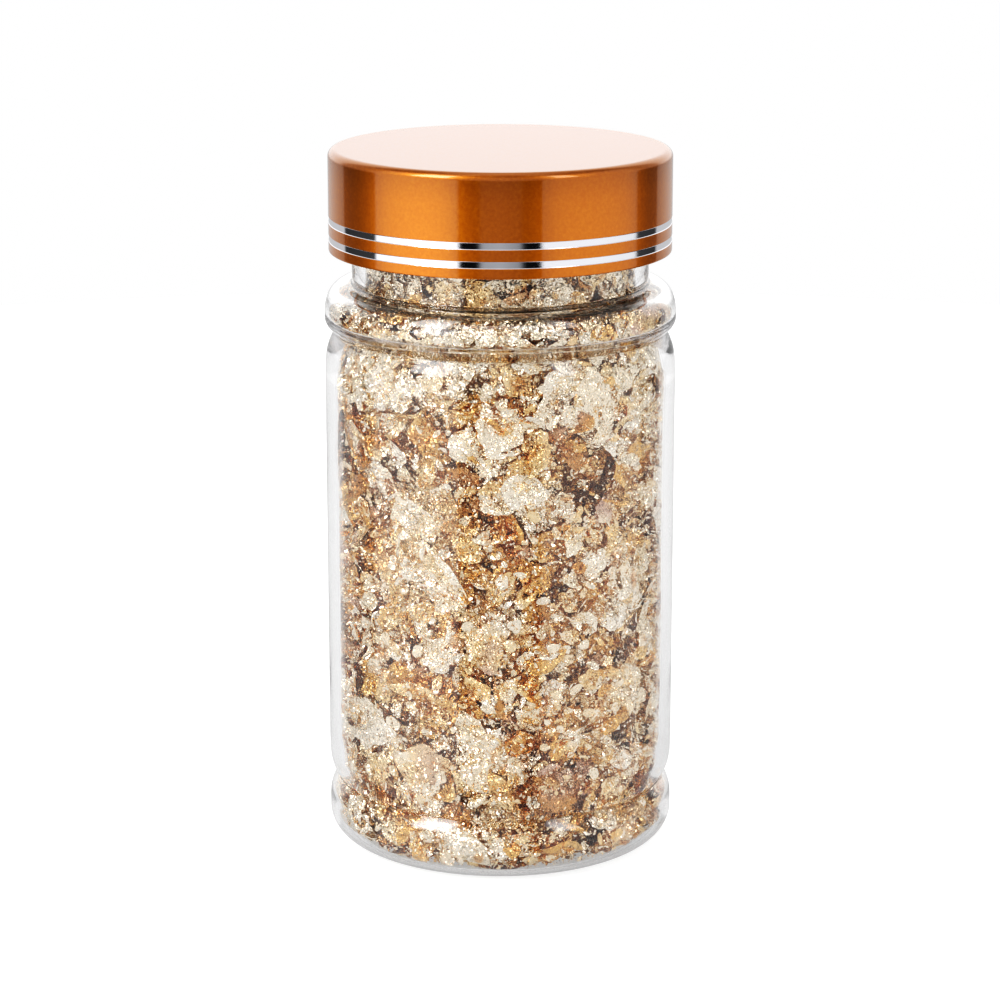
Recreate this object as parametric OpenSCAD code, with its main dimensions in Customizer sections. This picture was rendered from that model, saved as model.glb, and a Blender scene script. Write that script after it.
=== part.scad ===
// Wide-mouth clear jar of metal leaf flakes, closed by a screw cap.
// The jar stands on the XY plane, its axis is Z, and the origin is the centre of its base.
// The cap is a thin aluminium shell pressed over a threaded plastic insert, with a foam liner
// that seals on the neck's lip. Lengths are in millimetres.

/* [Jar] */
// Outside diameter of the straight wall
jar_d = 45; // [44.6:0.1:46]
// Height of the shoulder, where the neck starts
shoulder_z = 73.8; // [72:0.1:90]
// Thickness of the wall
wall_t = 1.4; // [1.2:0.05:1.6]
// Thickness of the wall at the bead, where it is blown out furthest
bead_wall = 0.7; // [0.6:0.05:1.2]
// Thickness of the base and of the foot's wall
floor_t = 0.7; // [0.6:0.05:1.1]
// Depth of the two grooves that run round the wall
groove_depth = 1.25; // [0.6:0.05:1.4]
// Height of the groove near the base
low_groove_z = 8.2; // [7.6:0.1:10]
// Rise of the pushed-up centre of the base
push_up = 1.7; // [1:0.1:2.2]

/* [Neck] */
// Outside diameter of the neck between its threads
neck_d = 37.9; // [37.6:0.05:38]
// Inside diameter of the mouth
mouth_d = 34.8; // [34:0.1:35.2]
// Diameter over the neck's thread
thread_d = 39.9; // [39.5:0.05:40.1]
// Rise of the thread in one turn
pitch = 4.2333; // [4.1:0.0001:4.3]
// Turns of thread on the neck, and in the cap
thread_turns = 1.4; // [1:0.05:1.4]

/* [Cap] */
// Outside diameter of the cap's shell
cap_d = 43.8; // [43.6:0.1:44.2]
// Height of the shell
cap_h = 13; // [12.8:0.1:13.4]
// Gap between the shoulder and the shell's lower edge
cap_gap = 4.1; // [4:0.1:5]
// Thickness of the shell's sheet
shell_t = 0.45; // [0.4:0.05:0.5]
// Radius of the rounded top edge
edge_r = 1; // [0.6:0.1:1.4]
// Height of the lower bright ring above the shell's edge
ring_low = 1.32; // [1.2:0.02:2]
// Distance from one bright ring to the other
ring_step = 2.32; // [1.8:0.02:3]
// Width of a bright ring
ring_w = 0.84; // [0.5:0.02:1]
// Depth to which a bright ring is cut
ring_cut = 0.08; // [0.05:0.01:0.12]
// Thickness of the foam liner
liner_t = 1; // [0.8:0.1:1.1]

/* [Leaf] */
// Thickness that each modelled flake is given
leaf_t = 0.2; // [0.1:0.01:0.22]
// Seed of the flakes' scatter
leaf_seed = 7; // [1:1:99]

/* [Hidden] */
$fn = 96;

jar_r = jar_d / 2;
bead_z = shoulder_z - 4.45;          // widest level of the bead under the neck
bead_r = jar_r + 0.04;
high_groove_z = bead_z - 1.85;
foot_z = 4.7;                        // top of the straight foot
heel_h = 3.66;                       // height of the rounded heel
stand_r = jar_r - 4.1;               // outer radius of the ring that the jar stands on
neck_r = neck_d / 2;
mouth_r = mouth_d / 2;

cap_z0 = shoulder_z + cap_gap;       // lower edge of the shell
cap_z1 = cap_z0 + cap_h;             // top of the shell
cap_r = cap_d / 2;
gap = 0.05;                          // play between the pieces that sit on each other
insert_r = cap_r - shell_t - gap;
insert_top = cap_z1 - shell_t - gap;
insert_panel = 1.1;
insert_bore_r = insert_r - 1.1;
insert_z0 = cap_z0 + 0.15;
liner_top = insert_top - insert_panel - gap;
lip_z = liner_top - liner_t - gap;   // sealing face of the neck
liner_r = insert_bore_r - 0.1;
thread_low = cap_z0 + 2.8;           // middle of the neck thread's lower end

// points on a curve from a to b whose slope grows with the power n
function power_curve(a, b, n, steps) = [for (i = [1:steps]) let (t = i / steps)
    [a[0] + (b[0] - a[0]) * pow(t, n), a[1] + (b[1] - a[1]) * t]];
function reversed_curve(a, b, n, steps) = [for (i = [1:steps]) let (t = i / steps)
    [b[0] + (a[0] - b[0]) * pow(1 - t, n), a[1] + (b[1] - a[1]) * t]];
// quarter of a superellipse, from its widest level up to its top
function bead_top(r_in, r_out, z0, h, n, steps) = [for (i = [1:steps]) let (a = 90 * i / steps)
    [r_in + (r_out - r_in) * pow(cos(a), 2 / n), z0 + h * pow(sin(a), 2 / n)]];
// quarter ellipse that rounds the heel, from the standing ring out to the wall
function heel(r_in, r_out, z0, h, steps) = [for (i = [0:steps]) let (a = 90 * i / steps)
    [r_in + (r_out - r_in) * sin(a), z0 + h * (1 - cos(a))]];

groove_r = jar_r - groove_depth;
in_r = jar_r - wall_t;
in_groove_r = groove_r - wall_t + 0.35;
in_bead_r = bead_r - bead_wall;
heel_in_r = stand_r - 0.1;
foot_in_r = jar_r - floor_t - 0.05;

outer_line = concat(
    [[0, push_up], [stand_r * 0.45, push_up * 0.86], [stand_r * 0.8, push_up * 0.55],
     [stand_r - 1.5, push_up * 0.3], [stand_r - 1, 0]],
    heel(stand_r, jar_r, 0, heel_h, 10),
    [[jar_r, foot_z]],
    power_curve([jar_r, foot_z], [groove_r, low_groove_z], 2.6, 6),
    reversed_curve([groove_r, low_groove_z], [jar_r, 14], 4, 9),
    [[jar_r, high_groove_z - 5.3]],
    power_curve([jar_r, high_groove_z - 5.3], [groove_r, high_groove_z], 2.8, 8),
    reversed_curve([groove_r, high_groove_z], [bead_r, bead_z], 1.9, 6),
    bead_top(neck_r, bead_r, bead_z, 4.45, 2.65, 14),
    [[neck_r, shoulder_z + 0.3], [neck_r, lip_z - 0.35], [neck_r - 0.35, lip_z]]);

inner_line = concat(
    [[mouth_r + 0.3, lip_z], [mouth_r, lip_z - 0.3], [mouth_r, shoulder_z - 0.6], [mouth_r + 0.25, shoulder_z - 0.9]],
    [for (i = [12:-1:0]) let (a = 88 * i / 12)
        [mouth_r + 0.4 + (in_bead_r - mouth_r - 0.4) * pow(cos(a), 0.75), bead_z + 3.55 * pow(sin(a), 0.75)]],
    [for (p = [for (i = [1:5]) i / 5]) [in_bead_r + (in_groove_r - in_bead_r) * pow(p, 0.8), bead_z - (bead_z - high_groove_z) * p]],
    [for (i = [1:6]) let (t = i / 6) [in_groove_r + (in_r - in_groove_r) * (1 - pow(1 - t, 2.4)), high_groove_z - 5 * t]],
    [[in_r, 13.6]],
    [for (i = [1:6]) let (t = i / 6) [in_r + (in_groove_r - in_r) * pow(t, 2.4), 13.6 - (13.6 - low_groove_z) * t]],
    [for (i = [1:4]) let (t = i / 4) [in_groove_r + (foot_in_r - in_groove_r) * (1 - pow(1 - t, 1.8)), low_groove_z - 2.6 * t]],
    [for (i = [8:-1:0]) let (a = 90 * i / 8) [heel_in_r + (foot_in_r - heel_in_r) * sin(a), floor_t + 3.2 * (1 - cos(a))]],
    [[stand_r * 0.8, push_up * 0.55 + floor_t], [stand_r * 0.45, push_up * 0.86 + floor_t], [0, push_up + floor_t]]);

// one screw ridge, built as rings of four points; its ends fade into the wall
// root_r and crest_r: radii of the ridge's base and top; root_w and crest_w: its widths there
module ridge(root_r, crest_r, root_w, crest_w, z0, turns, start) {
    per_turn = 40;
    n = round(turns * per_turn);
    function fade(i) = min(1, 0.12 + 0.88 * min(i, n - i) / 4);
    pts = [for (i = [0:n])
        let (a = start + 360 * i / per_turn, z = z0 + pitch * i / per_turn, f = fade(i),
             rc = root_r + (crest_r - root_r) * f, hw = root_w / 2, hc = crest_w / 2 + (root_w - crest_w) / 2 * (1 - f) * 0.9)
        for (q = [[root_r, -hw], [rc, -hc], [rc, hc], [root_r, hw]])
            [q[0] * cos(a), q[0] * sin(a), z + q[1]]];
    side = [for (i = [0:n - 1], j = [0:3]) let (k = (j + 1) % 4, a = 4 * i)
        each [[a + j, a + 4 + k, a + k], [a + j, a + 4 + j, a + 4 + k]]];
    ends = [[0, 1, 2], [0, 2, 3], [4 * n, 4 * n + 2, 4 * n + 1], [4 * n, 4 * n + 3, 4 * n + 2]];
    inward = concat(side, ends);
    polyhedron(points = pts, convexity = 6,
        faces = crest_r < root_r ? inward : [for (f = inward) [f[2], f[1], f[0]]]);
}

module jar_body() {
    color([0.86, 0.9, 0.93, 0.4]) union() {
        rotate_extrude() polygon(concat(outer_line, inner_line));
        ridge(neck_r - 0.2, thread_d / 2, 2.1, 0.9, thread_low, thread_turns, 20);
    }
}

shell_line = concat(
    [[cap_r - shell_t, cap_z0], [cap_r, cap_z0]],
    [for (k = [0, 1], s = [[0, 0], [ring_cut, 0.04], [ring_cut, ring_w - 0.04], [0, ring_w]])
        [cap_r - s[0], cap_z0 + ring_low + k * ring_step + s[1]]],
    [for (i = [0:8]) let (a = 90 * i / 8)
        [cap_r - edge_r + edge_r * cos(a), cap_z1 - edge_r + edge_r * sin(a)]],
    [[0, cap_z1], [0, cap_z1 - shell_t]],
    [for (i = [8:-1:0]) let (a = 90 * i / 8, e = edge_r - shell_t)
        [cap_r - edge_r + e * cos(a), cap_z1 - edge_r + e * sin(a)]]);

module cap_shell() {
    color([0.78, 0.42, 0.13]) rotate_extrude() polygon(shell_line);
}

insert_line = [
    [insert_bore_r + 0.35, insert_z0], [insert_r, insert_z0], [insert_r, insert_top - 0.8], [insert_r - 0.8, insert_top],
    [0, insert_top], [0, insert_top - insert_panel], [insert_bore_r, insert_top - insert_panel],
    [insert_bore_r, liner_top - liner_t - gap], [insert_bore_r - 0.25, liner_top - liner_t - 0.3],
    [insert_bore_r, liner_top - liner_t - 0.55], [insert_bore_r, insert_z0 + 0.35]];

module cap_insert() {
    color([0.93, 0.93, 0.92]) union() {
        rotate_extrude() polygon(insert_line);
        ridge(insert_bore_r + 0.15, neck_r + 0.2, 2.0, 0.8, thread_low - 1.5, thread_turns, 20);
    }
}

module cap_liner() {
    color([0.97, 0.97, 0.95]) translate([0, 0, liner_top - liner_t]) cylinder(r = liner_r, h = liner_t);
}

// The flakes lie loose. Each one sits in a round cell of its own, so none touches another.
// A cell is [x, y, z, radius, kind]: kind 0 holds a large flake, 1 medium ones, 2 small ones.
function ring_cells(z, r, count, cell_r, turn, shift) = [for (i = [0:count - 1])
    let (a = turn + 360 * i / count) [r * cos(a), r * sin(a), z, cell_r, (i * 2 + shift) % 5]];
layer_z0 = 8;
layers = floor((shoulder_z - 11.1 - layer_z0 + 4.3) / 8.4);
turns_of = rands(0, 360, 3 * (layers + 3), leaf_seed);
cells = concat(
    [for (k = [0:layers]) each concat(
        ring_cells(layer_z0 + 8.4 * k, jar_r - 7, 11, 4.3, turns_of[3 * k], k),
        ring_cells(layer_z0 + 8.4 * k, jar_r - 15.2, 5, 3.8, turns_of[3 * k + 1], k + 2),
        [[0, 0, layer_z0 + 8.4 * k, 3.3, k % 5]])],
    ring_cells(layer_z0 + 8.4 * (layers + 1), mouth_r - 4.6, 9, 3.9, turns_of[3 * layers + 4], 0),
    ring_cells(layer_z0 + 8.4 * (layers + 1), mouth_r - 12.4, 3, 3.7, turns_of[3 * layers + 5], 1));

// a flake that fits in a cell of radius 1: a pleated strip, extruded across its width
module flake(cell_r, s, seed) {
    v = rands(0, 1, 12, seed);
    l = cell_r * s * (1.2 + 0.25 * v[0]);
    w = cell_r * s * (0.95 + 0.25 * v[1]);
    n = 3;
    h = cell_r * s * 0.2;
    line = [for (i = [0:n]) [-l / 2 + l * (i + (i > 0 && i < n ? (v[2 + i] - 0.5) * 0.5 : 0)) / n,
        (i % 2 == 0 ? -1 : 1) * h * (0.35 + 0.65 * v[6 + i])]];
    rotate([360 * v[10], 180 * v[11], 360 * v[5]])
        translate([0, 0, -w / 2]) linear_extrude(height = w)
            polygon(concat([for (p = line) [p[0], p[1] - leaf_t / 2]],
                [for (i = [n:-1:0]) [line[i][0], line[i][1] + leaf_t / 2]]));
}

// the centres of four equal cells that fit inside one cell
four = [[1, 1, 1], [1, -1, -1], [-1, 1, -1], [-1, -1, 1]] * (0.5505 / sqrt(3));

module leaf_large() {
    color([0.93, 0.78, 0.5]) for (i = [0:len(cells) - 1]) let (c = cells[i])
        if (c[4] % 5 < 2) translate([c[0], c[1], c[2]]) flake(c[3] * 0.97, 1, leaf_seed + i);
}

module leaf_medium() {
    color([0.88, 0.66, 0.34]) for (i = [0:len(cells) - 1]) let (c = cells[i])
        if (c[4] == 2 || c[4] == 3) for (j = [0:3])
            translate([c[0], c[1], c[2]] + four[j] * c[3]) flake(c[3] * 0.436, 1, leaf_seed + 500 + 4 * i + j);
}

module leaf_small() {
    color([0.97, 0.88, 0.68]) for (i = [0:len(cells) - 1]) let (c = cells[i])
        if (c[4] == 4) for (j = [0:3])
            translate([c[0], c[1], c[2]] + four[j] * c[3]) flake(c[3] * 0.436, 0.62, leaf_seed + 1500 + 4 * i + j);
}

jar_body();
cap_shell();
cap_insert();
cap_liner();
leaf_large();
leaf_medium();
leaf_small();
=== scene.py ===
import math

import bpy
import numpy as np
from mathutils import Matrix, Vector


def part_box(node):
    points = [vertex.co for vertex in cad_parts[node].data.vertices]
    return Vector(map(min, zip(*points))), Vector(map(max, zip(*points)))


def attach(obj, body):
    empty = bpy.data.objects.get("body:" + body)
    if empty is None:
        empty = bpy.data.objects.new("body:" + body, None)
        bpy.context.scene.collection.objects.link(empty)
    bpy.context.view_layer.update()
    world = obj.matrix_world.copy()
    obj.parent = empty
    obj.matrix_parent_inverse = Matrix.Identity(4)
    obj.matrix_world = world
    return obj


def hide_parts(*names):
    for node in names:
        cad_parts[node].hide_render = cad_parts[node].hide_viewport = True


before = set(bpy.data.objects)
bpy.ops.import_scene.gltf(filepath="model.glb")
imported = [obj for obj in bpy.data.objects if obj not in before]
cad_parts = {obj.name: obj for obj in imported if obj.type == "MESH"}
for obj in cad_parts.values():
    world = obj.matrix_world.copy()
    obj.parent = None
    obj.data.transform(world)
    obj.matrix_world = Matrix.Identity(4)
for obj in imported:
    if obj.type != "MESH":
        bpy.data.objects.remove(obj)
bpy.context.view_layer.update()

MM = 0.001

# ---------------------------------------------------------------- sizes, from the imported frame
jar_lo, jar_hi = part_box("jar_body")
cap_lo, cap_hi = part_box("cap_shell")
ins_lo, ins_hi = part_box("cap_insert")
lin_lo, lin_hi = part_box("cap_liner")
BEAD_R = jar_hi.x / MM
JAR_R = BEAD_R - 0.04
LIP_Z = jar_hi.z / MM
CAP_Z0, CAP_Z1, CAP_R = cap_lo.z / MM, cap_hi.z / MM, cap_hi.x / MM
INS_Z0, INS_Z1, INS_R = ins_lo.z / MM, ins_hi.z / MM, ins_hi.x / MM
LIN_Z0, LIN_Z1, LIN_R = lin_lo.z / MM, lin_hi.z / MM, lin_hi.x / MM
SHOULDER_Z = CAP_Z0 - 4.1
NECK_R, MOUTH_R, WALL_T = 18.95, 17.4, 1.4
PITCH, TURNS, THREAD_START = 4.2333, 1.4, 20.0
THREAD_LOW = CAP_Z0 + 2.8
BEAD_Z = SHOULDER_Z - 4.45
HIGH_Z, LOW_Z = BEAD_Z - 1.85, 8.2
GROOVE_R = JAR_R - 1.25
IN_R = JAR_R - WALL_T


# ---------------------------------------------------------------- profiles
def power_curve(a, b, n, steps):
    return [(a[0] + (b[0] - a[0]) * (i / steps) ** n, a[1] + (b[1] - a[1]) * i / steps) for i in range(1, steps + 1)]


def reversed_curve(a, b, n, steps):
    return [(b[0] + (a[0] - b[0]) * (1 - i / steps) ** n, a[1] + (b[1] - a[1]) * i / steps) for i in range(1, steps + 1)]


def dense(pts, step):
    pts = np.array(pts, float)
    d = np.r_[0, np.cumsum(np.hypot(*np.diff(pts, axis=0).T))]
    keep = np.r_[True, np.diff(d) > 1e-9]
    pts, d = pts[keep], d[keep]
    t = np.linspace(0, d[-1], max(2, int(round(d[-1] / step)) + 1))
    return np.c_[np.interp(t, d, pts[:, 0]), np.interp(t, d, pts[:, 1])]


def smooth(pts, sigma):
    """Rounds the corners of an evenly sampled line; sigma is in samples, and the two ends stay."""
    k = int(4 * sigma) + 1
    w = np.exp(-0.5 * (np.arange(-k, k + 1) / sigma) ** 2)
    w /= w.sum()
    a = np.r_[2 * pts[0] - pts[k:0:-1], pts, 2 * pts[-1] - pts[-2:-k - 2:-1]]
    out = np.c_[np.convolve(a[:, 0], w, "valid"), np.convolve(a[:, 1], w, "valid")]
    out[0], out[-1] = pts[0], pts[-1]
    return out


def thin(pts, turn_deg, longest):
    """Keeps the points that a smooth line needs: a row wherever it has turned by turn_deg or run for longest."""
    keep, run, turned = [0], 0.0, 0.0
    for i in range(1, len(pts) - 1):
        a, b = pts[i] - pts[i - 1], pts[i + 1] - pts[i]
        run += np.hypot(*a)
        turned += abs(math.degrees(math.atan2(a[0] * b[1] - a[1] * b[0], a @ b)))
        far = longest(pts[i]) if callable(longest) else longest
        if turned >= turn_deg or run >= far:
            keep.append(i)
            run, turned = 0.0, 0.0
    keep.append(len(pts) - 1)
    return pts[keep]


STAND_R, HEEL_H, PUSH = JAR_R - 4.1, 3.66, 1.7
outer = ([(0, PUSH), (4, PUSH * 0.97), (STAND_R * 0.45, PUSH * 0.86), (STAND_R * 0.8, PUSH * 0.55), (STAND_R - 1.5, PUSH * 0.3), (STAND_R - 1, 0)]
         + [(STAND_R + (JAR_R - STAND_R) * math.sin(a), HEEL_H * (1 - math.cos(a))) for a in np.linspace(0, math.pi / 2, 30)]
         + [(JAR_R, 4.7)]
         + power_curve((JAR_R, 4.7), (GROOVE_R, LOW_Z), 2.6, 20)
         + reversed_curve((GROOVE_R, LOW_Z), (JAR_R, 14), 4, 30)
         + [(JAR_R, HIGH_Z - 5.3)]
         + power_curve((JAR_R, HIGH_Z - 5.3), (GROOVE_R, HIGH_Z), 2.8, 24)
         + reversed_curve((GROOVE_R, HIGH_Z), (BEAD_R, BEAD_Z), 1.9, 16)
         + [(NECK_R + (BEAD_R - NECK_R) * math.cos(a) ** (2 / 2.65), BEAD_Z + 4.45 * math.sin(a) ** (2 / 2.65))
            for a in np.linspace(0, math.pi / 2 - 1e-6, 50)[1:]]
         + [(NECK_R, SHOULDER_Z + 0.3), (NECK_R, LIP_Z - 0.35), (NECK_R - 0.35, LIP_Z)])
IN_GROOVE_R = GROOVE_R - WALL_T + 0.35
BEAD_WALL, FLOOR_T = 0.7, 0.7
IN_BEAD_R = BEAD_R - BEAD_WALL
HEEL_IN_R, FOOT_IN_R = STAND_R - 0.1, JAR_R - FLOOR_T - 0.05
inner = ([(MOUTH_R + 0.3, LIP_Z), (MOUTH_R, LIP_Z - 0.3), (MOUTH_R, SHOULDER_Z - 0.6), (MOUTH_R + 0.25, SHOULDER_Z - 0.9)]
         + [(MOUTH_R + 0.4 + (IN_BEAD_R - MOUTH_R - 0.4) * math.cos(a) ** 0.75, BEAD_Z + 3.55 * math.sin(a) ** 0.75) for a in np.radians(np.linspace(88, 0, 40))]
         + [(IN_BEAD_R + (IN_GROOVE_R - IN_BEAD_R) * t ** 0.8, BEAD_Z - (BEAD_Z - HIGH_Z) * t) for t in np.linspace(0.1, 1, 10)]
         + [(IN_GROOVE_R + (IN_R - IN_GROOVE_R) * (1 - (1 - t) ** 2.4), HIGH_Z - 5 * t) for t in np.linspace(0.05, 1, 20)]
         + [(IN_R, 13.6)]
         + [(IN_R + (IN_GROOVE_R - IN_R) * t ** 2.4, 13.6 - (13.6 - LOW_Z) * t) for t in np.linspace(0.05, 1, 20)]
         + [(IN_GROOVE_R + (FOOT_IN_R - IN_GROOVE_R) * (1 - (1 - t) ** 1.8), LOW_Z - 2.6 * t) for t in np.linspace(0.1, 1, 12)]
         + [(HEEL_IN_R + (FOOT_IN_R - HEEL_IN_R) * math.sin(a), FLOOR_T + 3.2 * (1 - math.cos(a))) for a in np.linspace(math.pi / 2, 0, 24)]
         + [(STAND_R * 0.8, PUSH * 0.55 + FLOOR_T), (STAND_R * 0.45, PUSH * 0.86 + FLOOR_T), (4, PUSH * 0.97 + FLOOR_T), (0, PUSH + FLOOR_T)])
out_line = smooth(dense(outer, 0.05), 3.5)
in_line = smooth(dense(inner, 0.05), 6)


# ---------------------------------------------------------------- mesh helpers
def new_object(name, verts, faces, mats, body, smooth_shade=True, face_mats=None):
    me = bpy.data.meshes.new(name)
    verts = np.asarray(verts, np.float32) * MM
    if isinstance(faces, list):
        me.from_pydata(verts.tolist(), [], faces)
    else:
        n, k = faces.shape
        me.vertices.add(len(verts))
        me.vertices.foreach_set("co", verts.ravel())
        me.loops.add(n * k)
        me.loops.foreach_set("vertex_index", faces.astype(np.int32).ravel())
        me.polygons.add(n)
        me.polygons.foreach_set("loop_start", np.arange(0, n * k, k, dtype=np.int32))
        me.polygons.foreach_set("loop_total", np.full(n, k, np.int32))
        me.update(calc_edges=True)
    me.validate()
    for m in mats:
        me.materials.append(m)
    if face_mats is not None:
        me.polygons.foreach_set("material_index", np.asarray(face_mats, np.int32))
    me.polygons.foreach_set("use_smooth", np.full(len(me.polygons), smooth_shade))
    o = bpy.data.objects.new(name, me)
    bpy.context.scene.collection.objects.link(o)
    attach(o, body)
    return o


def lathe(name, line, seg, mats, body, push=None, row_mat=None):
    """Turns a line of (r, z) round Z. push(theta, r, z) moves points out, row by row. Ends on the axis close in one point."""
    th = np.linspace(0, 2 * math.pi, seg, endpoint=False)
    start_pole, end_pole = line[0][0] < 1e-6, line[-1][0] < 1e-6
    body_rows = line[(1 if start_pole else 0):(len(line) - 1 if end_pole else len(line))]
    verts, faces, fm = [], [], []
    for r, z in body_rows:
        rr = np.full(seg, r) + (push(th, r, z) if push else 0)
        verts.append(np.c_[rr * np.cos(th), rr * np.sin(th), np.full(seg, z)])
    verts = np.concatenate(verts)
    n = len(body_rows)
    j = np.arange(seg)
    k = (j + 1) % seg
    for i in range(n - 1):
        a, b = i * seg, (i + 1) * seg
        faces += np.c_[a + j, a + k, b + k, b + j].tolist()
        m = row_mat(i, 0.5 * (body_rows[i] + body_rows[i + 1])) if row_mat else 0
        fm += [m] * seg
    if start_pole:
        verts = np.r_[verts, [[0, 0, line[0][1]]]]
        p = len(verts) - 1
        faces += np.c_[np.full(seg, p), k, j].tolist()
        fm += [row_mat(0, body_rows[0]) if row_mat else 0] * seg
    if end_pole:
        verts = np.r_[verts, [[0, 0, line[-1][1]]]]
        p, a = len(verts) - 1, (n - 1) * seg
        faces += np.c_[a + j, a + k, np.full(seg, p)].tolist()
        fm += [row_mat(n - 1, body_rows[-1]) if row_mat else 0] * seg
    return new_object(name, verts, faces, mats, body, face_mats=fm)


def thread_height(th, z, low, half_root, half_crest, tall):
    """Height of the screw ridge at each angle, for one level."""
    out = np.zeros_like(th)
    deg = np.degrees(th)
    for turn in (-1, 0, 1, 2):
        phi = deg - THREAD_START + 360 * turn
        inside = (phi > -4) & (phi < 360 * TURNS + 4)
        w = np.abs(z - (low + PITCH * phi / 360))
        s = np.clip((half_root - w) / (half_root - half_crest), 0, 1)
        s = s * s * (3 - 2 * s)
        f = np.clip(np.minimum(phi + 4, 360 * TURNS + 4 - phi) / 30, 0, 1)
        out = np.maximum(out, np.where(inside, tall * s * f * f * (3 - 2 * f), 0))
    return out


# ---------------------------------------------------------------- node material helpers
def material(name):
    m = bpy.data.materials.new(name)
    m.use_nodes = True
    nt = m.node_tree
    nt.nodes.clear()
    out = nt.nodes.new("ShaderNodeOutputMaterial")
    bsdf = nt.nodes.new("ShaderNodeBsdfPrincipled")
    nt.links.new(bsdf.outputs[0], out.inputs["Surface"])
    return m, nt, bsdf


def node(nt, kind, inputs=None, **props):
    n = nt.nodes.new(kind)
    for k, v in props.items():
        setattr(n, k, v)
    for k, v in (inputs or {}).items():
        if isinstance(v, bpy.types.NodeSocket):
            nt.links.new(v, n.inputs[k])
        else:
            n.inputs[k].default_value = v
    return n


def ramp(nt, fac, stops, interpolation="LINEAR"):
    n = nt.nodes.new("ShaderNodeValToRGB")
    n.color_ramp.interpolation = interpolation
    el = n.color_ramp.elements
    while len(el) > 1:
        el.remove(el[-1])
    for i, (p, c) in enumerate(stops):
        e = el[0] if i == 0 else el.new(p)
        e.position = p
        c = (c, c, c) if isinstance(c, (int, float)) else c
        e.color = (*c, 1)
    nt.links.new(fac, n.inputs["Fac"])
    return n


def coords(nt, scale=(1, 1, 1)):
    tc = nt.nodes.new("ShaderNodeTexCoord")
    mp = node(nt, "ShaderNodeMapping", {"Vector": tc.outputs["Object"], "Scale": scale})
    return mp.outputs["Vector"]


def noise(nt, vec, scale, detail=2.0, rough=0.5, distort=0.0):
    return node(nt, "ShaderNodeTexNoise", {"Vector": vec, "Scale": scale, "Detail": detail, "Roughness": rough, "Distortion": distort})


def bump(nt, height, strength, distance, normal=None):
    n = node(nt, "ShaderNodeBump", {"Height": height, "Strength": strength, "Distance": distance})
    if normal is not None:
        nt.links.new(normal, n.inputs["Normal"])
    return n.outputs["Normal"]


# ---------------------------------------------------------------- materials
def clear_plastic():
    m, nt, b = material("clear_plastic")
    b.inputs["Base Color"].default_value = (0.99, 0.99, 0.99, 1)
    b.inputs["Transmission Weight"].default_value = 1.0
    b.inputs["IOR"].default_value = 1.55
    v = coords(nt)
    r = node(nt, "ShaderNodeMapRange", {"Value": noise(nt, v, 300.0, 3.0).outputs["Fac"], "From Min": 0.35, "From Max": 0.7, "To Min": 0.0, "To Max": 0.02})
    nt.links.new(r.outputs[0], b.inputs["Roughness"])
    nt.links.new(bump(nt, noise(nt, v, 90.0, 1.0).outputs["Fac"], 0.12, 0.0004), b.inputs["Normal"])
    grey = node(nt, "ShaderNodeVolumeAbsorption", {"Color": (0.25, 0.22, 0.24, 1), "Density": 4.0})
    out = next(n for n in nt.nodes if n.type == "OUTPUT_MATERIAL")
    nt.links.new(grey.outputs[0], out.inputs["Volume"])
    return m


def cap_paint():
    m, nt, b = material("copper_lacquer")
    v = coords(nt)
    flake = node(nt, "ShaderNodeTexVoronoi", {"Vector": v, "Scale": 5200.0}, feature="F1")
    speck = noise(nt, v, 2600.0, 2.0, 0.6)
    col = ramp(nt, speck.outputs["Fac"], [(0.3, (0.58, 0.170, 0.007)), (0.52, (0.62, 0.190, 0.010)), (0.75, (0.67, 0.219, 0.013))])
    # painted shade: the lacquer's colour is darkened towards the top of the cap, over the upper skirt, the rounded edge
    # and the top face
    sep = node(nt, "ShaderNodeSeparateXYZ", {"Vector": v})
    rise = node(nt, "ShaderNodeMapRange", {"Value": sep.outputs["Z"], "From Min": CAP_Z0 * MM, "From Max": CAP_Z1 * MM, "To Min": 1.0, "To Max": 0.0})
    painted_top_shade = ramp(nt, rise.outputs[0], [(0.0, 0.68), (0.02, 0.62), (0.08, 0.72), (0.3, 0.92), (0.6, 1.0)])
    mix = node(nt, "ShaderNodeMix", data_type="RGBA", blend_type="MULTIPLY")
    mix.inputs[0].default_value = 1.0
    nt.links.new(col.outputs["Color"], mix.inputs[6])
    nt.links.new(painted_top_shade.outputs["Color"], mix.inputs[7])
    nt.links.new(mix.outputs[2], b.inputs["Base Color"])
    b.inputs["Metallic"].default_value = 0.9
    rr = node(nt, "ShaderNodeMapRange", {"Value": speck.outputs["Fac"], "To Min": 0.30, "To Max": 0.40})
    nt.links.new(rr.outputs[0], b.inputs["Roughness"])
    nt.links.new(bump(nt, flake.outputs["Color"], 0.06, 0.00003), b.inputs["Normal"])
    b.inputs["Coat Weight"].default_value = 1.0
    b.inputs["Coat Roughness"].default_value = 0.01
    b.inputs["Coat IOR"].default_value = 1.5
    return m


def bright_cut():
    """Bare aluminium cut by a diamond tool: a mirror with fine rings round it."""
    m, nt, b = material("bright_cut_aluminium")
    v = coords(nt, (1, 1, 60))
    n = noise(nt, v, 900.0, 2.0, 0.6)
    c = ramp(nt, n.outputs["Fac"], [(0.3, (0.78, 0.79, 0.84)), (0.7, (0.84, 0.84, 0.88))])
    nt.links.new(c.outputs["Color"], b.inputs["Base Color"])
    b.inputs["Metallic"].default_value = 1.0
    rr = node(nt, "ShaderNodeMapRange", {"Value": n.outputs["Fac"], "To Min": 0.04, "To Max": 0.10})
    nt.links.new(rr.outputs[0], b.inputs["Roughness"])
    nt.links.new(bump(nt, n.outputs["Fac"], 0.1, 0.00001), b.inputs["Normal"])
    return m


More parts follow.
